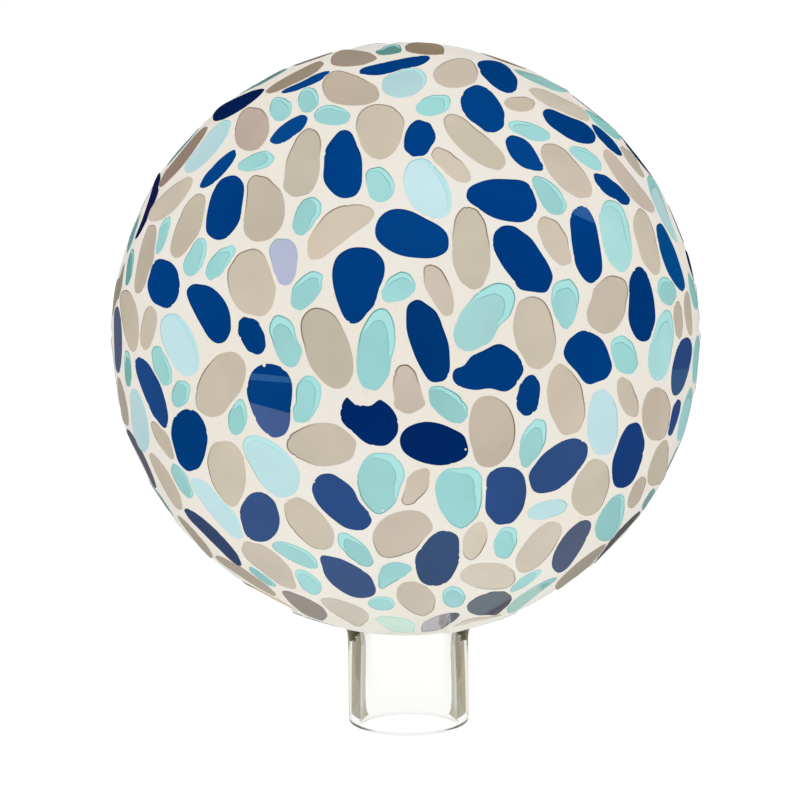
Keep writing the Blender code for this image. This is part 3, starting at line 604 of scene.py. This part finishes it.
def makeTiles(tiles, colour, material):
    # All the tiles of one colour
    shape = bmesh.new()
    shadeLineLayer = shape.faces.layers.float.new("paintedShadeLine")
    paintedLightLayer = shape.faces.layers.float.new("paintedLightCrescent")
    crescentShadeLayer = shape.faces.layers.float.new("crescentShadeLine")
    toneLayer = shape.faces.layers.float_color.new("tone")
    tileLayer = shape.faces.layers.int.new("tile")
    faces = []
    for number, tile in enumerate(tiles):
        corners = tile.place(tile.corners, tile.height - sum(depth for _, depth in tileShape["arris"]))
        face = shape.faces.new([shape.verts.new(ballPoint(spot)) for spot in corners])
        face[toneLayer] = tile.tone
        face[tileLayer] = number
        faces.append(face)
    # Walls and back
    walls = bmesh.ops.extrude_face_region(shape, geom=faces, use_keep_orig=True)
    for face in only(bmesh.types.BMFace, walls["geom"]):
        down = -Vector(tiles[face[tileLayer]].centre) * tileShape["thickness"]
        bmesh.ops.translate(shape, verts=face.verts, vec=down)
    bmesh.ops.recalc_face_normals(shape, faces=shape.faces)
    # The rounded arris, then the bands that the finish needs. The arris and the band inside it carry the
    # painted shade line, darkest on the edge away from the camera.
    for width, depth in tileShape["arris"]:
        rings = bmesh.ops.inset_individual(shape, faces=faces, thickness=width, depth=depth)["faces"]
        for face in rings:
            face.smooth = True
            face[shadeLineLayer] = edgeShade(face, tiles[face[tileLayer]], "away")
    rings = bmesh.ops.inset_individual(shape, faces=faces, thickness=tileShape["lineWidth"], depth=0)["faces"]
    for face in rings:
        face[shadeLineLayer] = edgeShade(face, tiles[face[tileLayer]], "away")
    # Aqua and pale tiles: a paler band on the shine side, which is painted light, with a darker line inside
    # it, which is painted shade
    if colour in tileShape["paintedLightCrescent"]:
        share = tileShape["paintedLightCrescent"][colour]
        faces = [face for face in faces if tiles[face[tileLayer]].key not in evenTiles]
        thickness = tileShape["crescentInset"]
        rings = bmesh.ops.inset_individual(shape, faces=faces, thickness=thickness, depth=0)["faces"]
        for face in rings:
            shade = edgeShade(face, tiles[face[tileLayer]], "shine")
            face[paintedLightLayer] = min(1, tileShape["crescentEdge"] * shade)
        for face in faces:
            shiftCrescent(face, tiles[face[tileLayer]], share)
        thickness = tileShape["crescentShadeLine"]
        rings = bmesh.ops.inset_individual(shape, faces=faces, thickness=thickness, depth=0)["faces"]
        for face in rings:
            face[crescentShadeLayer] = edgeShade(face, tiles[face[tileLayer]], "shine")
    # The painted reflections: parts of a tile in another tone
    for number, tile in enumerate(tiles):
        for x1, y1, x2, y2, tone in paintedReflectionBands.get(tile.key, []):
            ends, _ = onBall([(x1, y1), (x2, y2)])
            across = Vector(np.cross(*ends))
            middle = ballPoint((0, 0, 0))
            own = [face for face in shape.faces if face[tileLayer] == number]
            parts = set(own) | {edge for face in own for edge in face.edges}
            parts |= {vert for face in own for vert in face.verts}
            bmesh.ops.bisect_plane(shape, geom=list(parts), plane_co=middle, plane_no=across)
            for face in shape.faces:
                if face[tileLayer] == number and (face.calc_center_median() - middle) @ across > 0:
                    face[toneLayer] = seenColour(*tone)
    bmesh.ops.recalc_face_normals(shape, faces=shape.faces)
    return toMesh(shape, f"{colour}Tiles", material)


def edgeShade(face, tile, way):
    # From 0 to 1 as the edge turns towards one of the tile's own directions. It sets how strongly the painted
    # shade line shows, towards the side away from the camera, and the painted light crescent, towards the
    # shine.
    middle = np.array(face.calc_center_median() - Vector((0, 0, ballHeight)))
    offset = np.array([middle @ tile.side, middle @ tile.up]) - tile.corners.mean(0)
    return float(np.clip(unit(offset) @ getattr(tile, way), 0, 1))


def shiftCrescent(face, tile, share):
    # The painted light band inside the edge is wide on the outer side and thin on the other
    middle = face.calc_center_median()
    for vert in face.verts:
        offset = vert.co - middle
        flat = unit(np.array([np.array(offset) @ tile.side, np.array(offset) @ tile.up]))
        least = tileShape["crescentLeast"]
        width = least + (share - least) * max(0.0, float(flat @ tile.shine)) ** tileShape["crescentFall"]
        vert.co = middle + offset * (1 - width)


# The grout, in metres
groutShape = {
    "belowTile": 0.00012,
    "blend": 0.0026,
    "dip": 0.0006,
    "dipStart": 0.0014,
    "dipReach": 0.0016,
    "hollow": 0.00018,
    "refine": 6,
    "cuts": 2,
    "innerRings": 40,
    "sunk": 0.0022,
    "nearShare": 1.05,
    "speckHeight": 0.35,
    "speckRefine": 2,
}


def insideOutline(points, outline):
    # Which flat points an outline has round them
    ahead = np.roll(outline, -1, axis=0)
    above = (outline[:, 1] > points[:, None, 1]) != (ahead[:, 1] > points[:, None, 1])
    rise = ahead[:, 1] - outline[:, 1]
    rise = np.where(np.abs(rise) < tiny ** 2, tiny ** 2, rise)
    cross = outline[:, 0] + (points[:, None, 1] - outline[:, 1]) * (ahead[:, 0] - outline[:, 0]) / rise
    return ((points[:, None, 0] < cross) & above).sum(1) % 2 == 1


def groutFace(directions, tiles):
    # The face between the tiles, how far each spot is inside a tile, and its reach from the centre
    reach = faceReach(directions) - groutShape["hollow"]
    best = np.zeros(len(directions))
    depth = np.full(len(directions), -1.0)
    for tile in tiles:
        size = np.linalg.norm(tile.corners, axis=1).max() + groutShape["blend"]
        widest = size / tile.height * groutShape["nearShare"]
        near = np.flatnonzero(directions @ tile.centre > math.cos(widest))
        if not len(near):
            continue
        plane = tile.height / (directions[near] @ tile.centre)
        flat = np.stack([directions[near] @ tile.side, directions[near] @ tile.up], axis=1) * plane[:, None]
        gap, _ = edgeGaps(flat, tile.corners)
        inside = insideOutline(flat, tile.corners)
        share = np.clip(1 - gap / groutShape["blend"], 0, 1)
        weight = np.where(inside, 1.0, eased(share))
        deep = np.clip((gap - groutShape["dipStart"]) / groutShape["dipReach"], 0, 1)
        dip = np.where(inside, groutShape["dip"] * deep, 0)
        level = plane - groutShape["belowTile"] - dip
        chosen = weight > best[near]
        spots = near[chosen]
        plainReach = faceReach(directions[spots]) - groutShape["hollow"]
        reach[spots] = plainReach + weight[chosen] * (level[chosen] - plainReach)
        best[spots] = weight[chosen]
        depth[near[inside]] = gap[inside]
    return reach, depth


def makeGrout(tiles, material):
    # A fine ball, opened round the neck and drawn to the grout's face, then closed over the glass
    shape = bmesh.new()
    bmesh.ops.create_icosphere(shape, subdivisions=groutShape["refine"], radius=1)
    bmesh.ops.subdivide_edges(shape, edges=shape.edges, cuts=groutShape["cuts"], use_grid_fill=True)
    for vert in shape.verts:
        vert.co.normalize()
    cut = bmesh.ops.bisect_plane(
        shape,
        geom=shape.verts[:] + shape.edges[:] + shape.faces[:],
        plane_co=(0, 0, -math.cos(collarAngle)),
        plane_no=(0, 0, -1),
        clear_outer=True,
    )
    rim = only(bmesh.types.BMEdge, cut["geom_cut"])
    directions = unit(np.array([vert.co for vert in shape.verts]))
    reach, depth = groutFace(directions, tiles)
    for vert, spot in zip(shape.verts, directions * reach[:, None]):
        vert.co = ballPoint(spot)
    # The face far inside each tile is hidden, so it is one flat patch there.
    covered = [vert for vert, deep in zip(shape.verts, depth) if deep > groutShape["sunk"]]
    bmesh.ops.delete(shape, geom=covered, context="VERTS")
    rimSet = set(rim)
    edges = [edge for edge in shape.edges if edge.is_boundary and edge not in rimSet]
    bmesh.ops.holes_fill(shape, edges=edges, sides=0)
    closeGrout(shape, rim)
    addSpecks(shape, tiles)
    for face in shape.faces:
        face.smooth = True
    bmesh.ops.recalc_face_normals(shape, faces=shape.faces)
    return toMesh(shape, "groutShell", material)


def addSpecks(shape, tiles):
    # Flat blobs on the tiles
    for x, y, radius in specks:
        direction, _ = onBall([(x, y)])
        tile = max(tiles, key=lambda tile: direction[0] @ tile.centre)
        spot = direction[0] * tile.height / (direction[0] @ tile.centre)
        size = radius * ballRadius / picture["radius"]
        turn = Matrix((tile.side, tile.up, tile.centre)).transposed().to_4x4()
        flatter = Matrix.Diagonal((1, 1, groutShape["speckHeight"], 1))
        place = Matrix.Translation(ballPoint(spot)) @ turn @ flatter
        bmesh.ops.create_icosphere(shape, subdivisions=groutShape["speckRefine"], radius=size, matrix=place)


def closeGrout(shape, rim):
    # Turned down round the hole, then up over the glass to the top
    steps = groutShape["innerRings"]
    inside = shape.faces.layers.float.new("inside")
    outer = set(shape.faces)
    for step in range(steps):
        angle = collarAngle + (math.pi - collarAngle) * step / steps
        reach = float(glassReach(np.array(angle))) + globe["fitGap"]
        ring = bmesh.ops.extrude_edge_only(shape, edges=rim)
        rim = only(bmesh.types.BMEdge, ring["geom"])
        for vert in only(bmesh.types.BMVert, ring["geom"]):
            turn = math.atan2(vert.co.y, vert.co.x)
            radius = reach * math.sin(angle)
            vert.co = ballPoint((radius * math.cos(turn), radius * math.sin(turn), -reach * math.cos(angle)))
    bmesh.ops.holes_fill(shape, edges=rim, sides=0)
    for face in shape.faces:
        face[inside] = 0.0 if face in outer else 1.0


# The clear glass, in metres
glassShape = {
    "rimRounding": 0.0012,
    "turnSteps": 144,
    "ballRings": 72,
    "flareRings": 20,
    "rimRings": 5,
    "merge": 0.00001,
}


def makeGlass(material):
    # The outer skin from the top down, round the rim, and the inner skin back up, turned into one shell
    flareAcross = globe["neckRadius"] + globe["flareRadius"]
    flareStart = math.acos(flareAcross / (globe["glassRadius"] + globe["flareRadius"]))
    neckWall = globe["neckRadius"] - globe["boreRadius"]
    rounding = glassShape["rimRounding"]
    profile = []
    for inside in (False, True):
        wall = globe["glassWall"] if inside else 0
        ballEnd = math.pi / 2 + flareStart
        skin = []
        for k in range(glassShape["ballRings"]):
            turn = ballEnd * k / glassShape["ballRings"]
            reach = globe["glassRadius"] - wall
            skin.append((reach * math.sin(turn), ballHeight + reach * math.cos(turn)))
        for k in range(glassShape["flareRings"] + 1):
            turn = flareStart * (1 - k / glassShape["flareRings"])
            thick = neckWall + (wall - neckWall) * turn / flareStart if inside else 0
            reach = globe["flareRadius"] + thick
            skin.append((flareAcross - reach * math.cos(turn), globe["neckLength"] + reach * math.sin(turn)))
        start = globe["boreRadius"] if inside else globe["neckRadius"]
        way = 1 if inside else -1
        for k in range(glassShape["rimRings"] + 1):
            turn = math.pi / 2 * k / glassShape["rimRings"]
            skin.append((start + way * rounding * (1 - math.cos(turn)), rounding * (1 - math.sin(turn))))
        profile += skin[::-1] if inside else skin
    shape = bmesh.new()
    verts = [shape.verts.new((radius, 0, height)) for radius, height in profile]
    edges = [shape.edges.new(pair) for pair in zip(verts, verts[1:])]
    bmesh.ops.spin(
        shape, geom=verts + edges, cent=(0, 0, 0), axis=(0, 0, 1),
        angle=2 * math.pi, steps=glassShape["turnSteps"], use_merge=True,
    )
    bmesh.ops.remove_doubles(shape, verts=shape.verts, dist=glassShape["merge"])
    bmesh.ops.recalc_face_normals(shape, faces=shape.faces)
    for face in shape.faces:
        face.smooth = True
    return toMesh(shape, "glass", material)


# The finishes. Colours are as the eye sees them, from 0 to 255. Each kind's upper and lower colours hold
# painted light from above and painted shade low down; its line colour is a painted shade line on each tile's
# edge away from the camera; the crescent colour of aqua and pale is painted light, and their inner colour a
# painted shade line.
finishes = {
    "navy": {
        "litUpper": (0, 67, 137), "shadedLower": (0, 58, 123), "line": (0, 24, 74), "drift": 2.5,
        "roughness": 0.06, "patch": 14, "shift": 0.12, "lineStrength": 0.5,
    },
    "taupe": {
        "litUpper": (209, 197, 178), "shadedLower": (207, 194, 176), "line": (124, 106, 86), "drift": 4.5,
        "roughness": 0.12, "patch": 30, "shift": 0.05, "lineStrength": 0.95,
    },
    "aqua": {
        "litUpper": (160, 215, 214), "shadedLower": (154, 212, 211), "line": (96, 160, 154), "drift": 3.5,
        "paintedLightCrescent": (174, 231, 228), "inner": (134, 198, 196),
        "roughness": 0.10, "patch": 24, "shift": 0.06, "lineStrength": 0.9,
    },
    "pale": {
        "litUpper": (200, 234, 238), "shadedLower": (196, 230, 234), "line": (128, 174, 174), "drift": 3.0,
        "paintedLightCrescent": (186, 236, 238), "inner": (176, 220, 222),
        "roughness": 0.10, "patch": 24, "shift": 0.04, "lineStrength": 0.6,
    },
}


# What the tiles' finishes share
tileFinishes = {
    "ior": 1.42,
    "patchEdges": (0.35, 0.65),
    "lineStart": 0.15,
    "ripple": 70,
    "rippleDepth": 0.00004,
    "channelDrift": 0.8,
}


def seenColour(red, green, blue):
    # A colour as the eye sees it, in the shader's linear terms
    linear = []
    for part in (red, green, blue):
        share = part / 255
        linear.append(share / 12.92 if share < 0.04045 else ((share + 0.055) / 1.055) ** 2.4)
    return (*linear, 1.0)


# Tiles with a colour of their own, by the tile's first end. Most have glass that differs from the rest of
# their kind. The six aqua tiles on the ball's upper right outline are made lighter as painted light, to make
# up for the light they miss at the ball's edge, and the grey navy tiles low down carry a painted reflection.
ownTonesAndPaintedLight = {
    (118, 306): (62, 84, 128), (128, 428): (84, 86, 122), (640, 510): (82, 78, 94),
    (404, 48): (178, 158, 132), (266, 93): (170, 155, 134), (330, 61): (180, 164, 146),
    (158, 189): (176, 154, 138), (258, 108): (196, 178, 164), (213, 120): (8, 38, 96),
    (162, 174): (24, 34, 86), (295, 198): (201, 193, 174), (322, 84): (199, 184, 165),
    (512, 597): (24, 28, 74), (658, 223): (4, 84, 154), (460, 614): (132, 130, 138),
    (282, 592): (116, 114, 130), (588, 520): (6, 36, 100), (609, 199): (176, 226, 223),
    (667, 310): (176, 227, 228), (510, 286): (169, 218, 216), (400, 438): (0, 40, 101),
    (344, 400): (0, 43, 107), (185, 508): (38, 68, 116), (382, 88): (184, 219, 221),
    (450, 531): (20, 58, 106), (282, 238): (183, 190, 215), (376, 619): (176, 226, 204),
    (512, 70): (192, 248, 244), (584, 110): (177, 248, 242), (647, 176): (208, 248, 248),
    (688, 273): (182, 246, 238), (697, 335): (172, 248, 246), (691, 387): (182, 246, 248),
    (375, 53): (110, 168, 160), (133, 249): (120, 182, 180), (127, 350): (122, 184, 182),
}


def tileTone(tile, random):
    # A tile's own colour: each differs a little from its kind's. The kind's colour is a little lighter up top
    # and deeper low down, which is painted light and shade.
    values = finishes[tile.colour]
    drift = random.normal(0, values["drift"]) + random.normal(0, tileFinishes["channelDrift"], 3)
    if tile.key in ownTonesAndPaintedLight:
        return seenColour(*ownTonesAndPaintedLight[tile.key])
    share = (1 + tile.centre[2]) / 2
    seen = [low + share * (high - low) for low, high in zip(values["shadedLower"], values["litUpper"])]
    return seenColour(*(max(0.0, part + change) for part, change in zip(seen, drift)))


def fill(node, values):
    for name, value in values.items():
        node.inputs[name].default_value = value


class NodeSheet:
    # A material and its nodes
    def __init__(self, name):
        self.material = bpy.data.materials.new(name)
        self.material.use_nodes = True
        self.tree = self.material.node_tree
        self.shader = self.tree.nodes["Principled BSDF"]

    def add(self, kind, **settings):
        node = self.tree.nodes.new(kind)
        for name, value in settings.items():
            setattr(node, name, value)
        return node

    def link(self, start, end):
        self.tree.links.new(start, end)

    def noise(self, scale, detail=2.0):
        coordinates = self.add("ShaderNodeTexCoord")
        noise = self.add("ShaderNodeTexNoise")
        fill(noise, {"Scale": scale, "Detail": detail})
        self.link(coordinates.outputs["Object"], noise.inputs["Vector"])
        return noise.outputs["Fac"]

    def attribute(self, name):
        return self.add("ShaderNodeAttribute", attribute_name=name).outputs["Fac"]

    def remap(self, value, low, high, newLow=0.0, newHigh=1.0):
        node = self.add("ShaderNodeMapRange")
        self.link(value, node.inputs["Value"])
        fill(node, {"From Min": low, "From Max": high, "To Min": newLow, "To Max": newHigh})
        return node.outputs["Result"]

    def mix(self, share, first, second):
        node = self.add("ShaderNodeMix", data_type="RGBA")
        self.link(share, node.inputs["Factor"])
        for socket, value in ((node.inputs[6], first), (node.inputs[7], second)):
            if isinstance(value, tuple):
                socket.default_value = value
            else:
                self.link(value, socket)
        return node.outputs[2]

    def bump(self, height, distance):
        node = self.add("ShaderNodeBump")
        fill(node, {"Distance": distance, "Strength": 1.0})
        self.link(height, node.inputs["Height"])
        self.link(node.outputs["Normal"], self.shader.inputs["Normal"])


def tileFinish(colour):
    values = finishes[colour]
    sheet = NodeSheet(f"{colour}Glass")
    patch = sheet.remap(sheet.noise(values["patch"]), *tileFinishes["patchEdges"])
    shift = sheet.add("ShaderNodeHueSaturation")
    sheet.link(sheet.remap(patch, 0, 1, 1 - values["shift"], 1 + values["shift"]), shift.inputs["Value"])
    tone = sheet.add("ShaderNodeAttribute", attribute_name="tone")
    sheet.link(tone.outputs["Color"], shift.inputs["Color"])
    paint = shift.outputs["Color"]
    # Painted light: the paler crescent on the shine side; painted shade: the darker line inside it
    if "paintedLightCrescent" in values:
        paint = sheet.mix(sheet.attribute("paintedLightCrescent"), paint, seenColour(*values["paintedLightCrescent"]))
        paint = sheet.mix(sheet.attribute("crescentShadeLine"), paint, seenColour(*values["inner"]))
    # Painted shade: a dark line on each tile's edge away from the camera, standing in for its wall seen
    # through the glass
    line = sheet.attribute("paintedShadeLine")
    shade = sheet.remap(line, tileFinishes["lineStart"], 1.0, 0.0, values["lineStrength"])
    paint = sheet.mix(shade, paint, seenColour(*values["line"]))
    sheet.link(paint, sheet.shader.inputs["Base Color"])
    fill(sheet.shader, {"Roughness": values["roughness"], "IOR": tileFinishes["ior"]})
    sheet.bump(sheet.noise(tileFinishes["ripple"], 1.0), tileFinishes["rippleDepth"])
    return sheet.material


groutFinish = {
    "main": (242, 237, 228), "warm": (242, 234, 221), "pit": (228, 218, 204),
    "roughness": 0.62, "patch": 22, "patchEdges": (0.35, 0.65),
    "grain": 900, "grainDepth": 0.00003, "pitEdges": (0.68, 0.74),
    "glow": (206, 192, 140), "glowStrength": 0.5,
}


def makeGroutFinish():
    sheet = NodeSheet("creamGrout")
    patch = sheet.remap(sheet.noise(groutFinish["patch"], 3.0), *groutFinish["patchEdges"])
    paint = sheet.mix(patch, seenColour(*groutFinish["main"]), seenColour(*groutFinish["warm"]))
    pits = sheet.remap(sheet.noise(groutFinish["grain"], 2.0), *groutFinish["pitEdges"])
    paint = sheet.mix(pits, paint, seenColour(*groutFinish["pit"]))
    sheet.link(paint, sheet.shader.inputs["Base Color"])
    # The light that comes in through the tiles
    glow = sheet.remap(sheet.attribute("inside"), 0, 1, 0, groutFinish["glowStrength"])
    glowColour = seenColour(*groutFinish["glow"])
    fill(sheet.shader, {"Roughness": groutFinish["roughness"], "Emission Color": glowColour})
    sheet.link(glow, sheet.shader.inputs["Emission Strength"])
    sheet.bump(sheet.noise(groutFinish["grain"], 3.0), groutFinish["grainDepth"])
    return sheet.material


clearFinish = {"roughness": 0.0, "ior": 1.5, "tint": (232, 226, 196), "density": 12}


def makeClearFinish():
    sheet = NodeSheet("clearGlass")
    fill(sheet.shader, {
        "Base Color": (1, 1, 1, 1), "Transmission Weight": 1.0,
        "Roughness": clearFinish["roughness"], "IOR": clearFinish["ior"],
    })
    absorb = sheet.add("ShaderNodeVolumeAbsorption")
    fill(absorb, {"Color": seenColour(*clearFinish["tint"]), "Density": clearFinish["density"]})
    sheet.link(absorb.outputs["Volume"], sheet.tree.nodes["Material Output"].inputs["Volume"])
    return sheet.material


print("Laying the tiles")
laid = layTiles()
random = np.random.default_rng(tileShape["seed"])
tiles = [FlatTile(colour, outline, key, random) for colour, outline, key in laid]
names = sorted(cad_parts)
for colour in tileRows:
    group = [tile for tile in tiles if tile.colour == colour]
    piece = makeTiles(group, colour, tileFinish(colour))
    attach(piece, "root")
    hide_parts(*(name for name in names if name.startswith(f"{colour}_tile")))
    print(colour, len(group), "tiles,", len(piece.data.polygons), "faces")

print("Spreading the grout")
grout = makeGrout(tiles, makeGroutFinish())
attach(grout, "root")
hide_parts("grout")
print("grout", len(grout.data.polygons), "faces")

print("Turning the glass")
glass = makeGlass(makeClearFinish())
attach(glass, "root")
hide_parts("glass_globe")

# The studio, in metres: a white floor and surround, a dimmer floor that only lights, a table, a card
# and a backdrop that only show in reflections, and two mats that only show through the clear glass
studio = {
    "floorSize": 8.0,
    "floorColour": (60, 60, 60),
    "floorGlow": 1.0,
    "dimGlow": 0.90,
    "tableFront": 0.30,
    "tableBack": 0.005,
    "tableSide": 0.26,
    "lift": 0.0004,
    "tableGlow": (226, 242, 232),
    "behindReach": 2.26,
    "behindGlow": (100, 98, 92),
    "cardFront": 0.006,
    "cardBack": 0.10,
    "cardSide": 0.08,
    "cardTop": 0.03,
    "cardGlow": (232, 222, 184),
    "cardStrength": 0.75,
    "mat": [(0.026, 0.034), (0.060, 0.110), (0.104, 0.250), (0.400, 0.200), (0.045, 0.005)],
    "matColour": (160, 152, 136),
    "surround": 1.01,
}
black = (0, 0, 0)
white = (255, 255, 255)


def rectangle(side, front, back, frontHeight, backHeight):
    return [
        (-side, front, frontHeight), (side, front, frontHeight),
        (side, back, backHeight), (-side, back, backHeight),
    ]


def makeStage(name, corners, albedo, glow, strength=1.0):
    shape = bmesh.new()
    shape.faces.new([shape.verts.new(corner) for corner in corners])
    sheet = NodeSheet(name)
    fill(sheet.shader, {
        "Base Color": seenColour(*albedo), "Roughness": 1.0, "Specular IOR Level": 0.0,
        "Emission Color": seenColour(*glow), "Emission Strength": strength,
    })
    item = toMesh(shape, name, sheet.material)
    return item


def hideExcept(item, **shown):
    # Only the named kinds of rays see the item.
    for rays in ("camera", "diffuse", "glossy", "transmission", "shadow"):
        setattr(item, f"visible_{rays}", shown.get(rays, False))


def makeStudio():
    reach = studio["floorSize"] / 2
    lift = studio["lift"]
    corners = rectangle(reach, -reach, reach, 0, 0)
    floor = makeStage("floor", corners, studio["floorColour"], white, studio["floorGlow"])
    hideExcept(floor, camera=True, transmission=True)
    dim = makeStage("floorLight", corners, studio["floorColour"], white, studio["dimGlow"])
    hideExcept(dim, diffuse=True)
    corners = rectangle(studio["tableSide"], -studio["tableFront"], studio["tableBack"], lift, lift)
    hideExcept(makeStage("table", corners, black, studio["tableGlow"]), glossy=True)
    far = studio["behindReach"]
    corners = rectangle(far, studio["tableBack"], far, lift, lift)
    hideExcept(makeStage("behind", corners, black, studio["behindGlow"]), glossy=True)
    corners = rectangle(studio["cardSide"], studio["cardFront"], studio["cardBack"], lift, studio["cardTop"])
    card = makeStage("card", corners, black, studio["cardGlow"], studio["cardStrength"])
    hideExcept(card, glossy=True)
    for name, way in (("matLeft", -1), ("matRight", 1)):
        spots = [(way * x, y, lift) for x, y in studio["mat"]]
        hideExcept(makeStage(name, spots, black, studio["matColour"]), transmission=True)
    world = bpy.data.worlds.new("surround")
    bpy.context.scene.world = world
    world.use_nodes = True
    fill(world.node_tree.nodes["Background"], {"Color": (1, 1, 1, 1), "Strength": studio["surround"]})
    world.cycles_visibility.glossy = False


def makeCamera():
    camera = bpy.data.cameras.new("camera")
    item = bpy.data.objects.new("camera", camera)
    bpy.context.scene.collection.objects.link(item)
    roll = math.radians(picture["roll"])
    across = math.cos(roll) * pictureRight - math.sin(roll) * pictureUp
    up = math.sin(roll) * pictureRight + math.cos(roll) * pictureUp
    place = ballPoint(towardCamera * picture["distance"] * ballRadius)
    turn = Matrix((across, up, towardCamera)).transposed().to_4x4()
    item.matrix_world = Matrix.Translation(place) @ turn
    camera.sensor_width = picture["sensor"]
    camera.lens = pictureFocal * camera.sensor_width / picture["size"]
    middle = picture["size"] / 2
    camera.shift_x = (middle - picture["centre"][0]) / picture["size"]
    camera.shift_y = (picture["centre"][1] - middle) / picture["size"]
    camera.clip_start = picture["nearest"]
    bpy.context.scene.camera = item


print("Setting up the studio")
makeStudio()
makeCamera()
bpy.context.scene.view_settings.view_transform = "Standard"
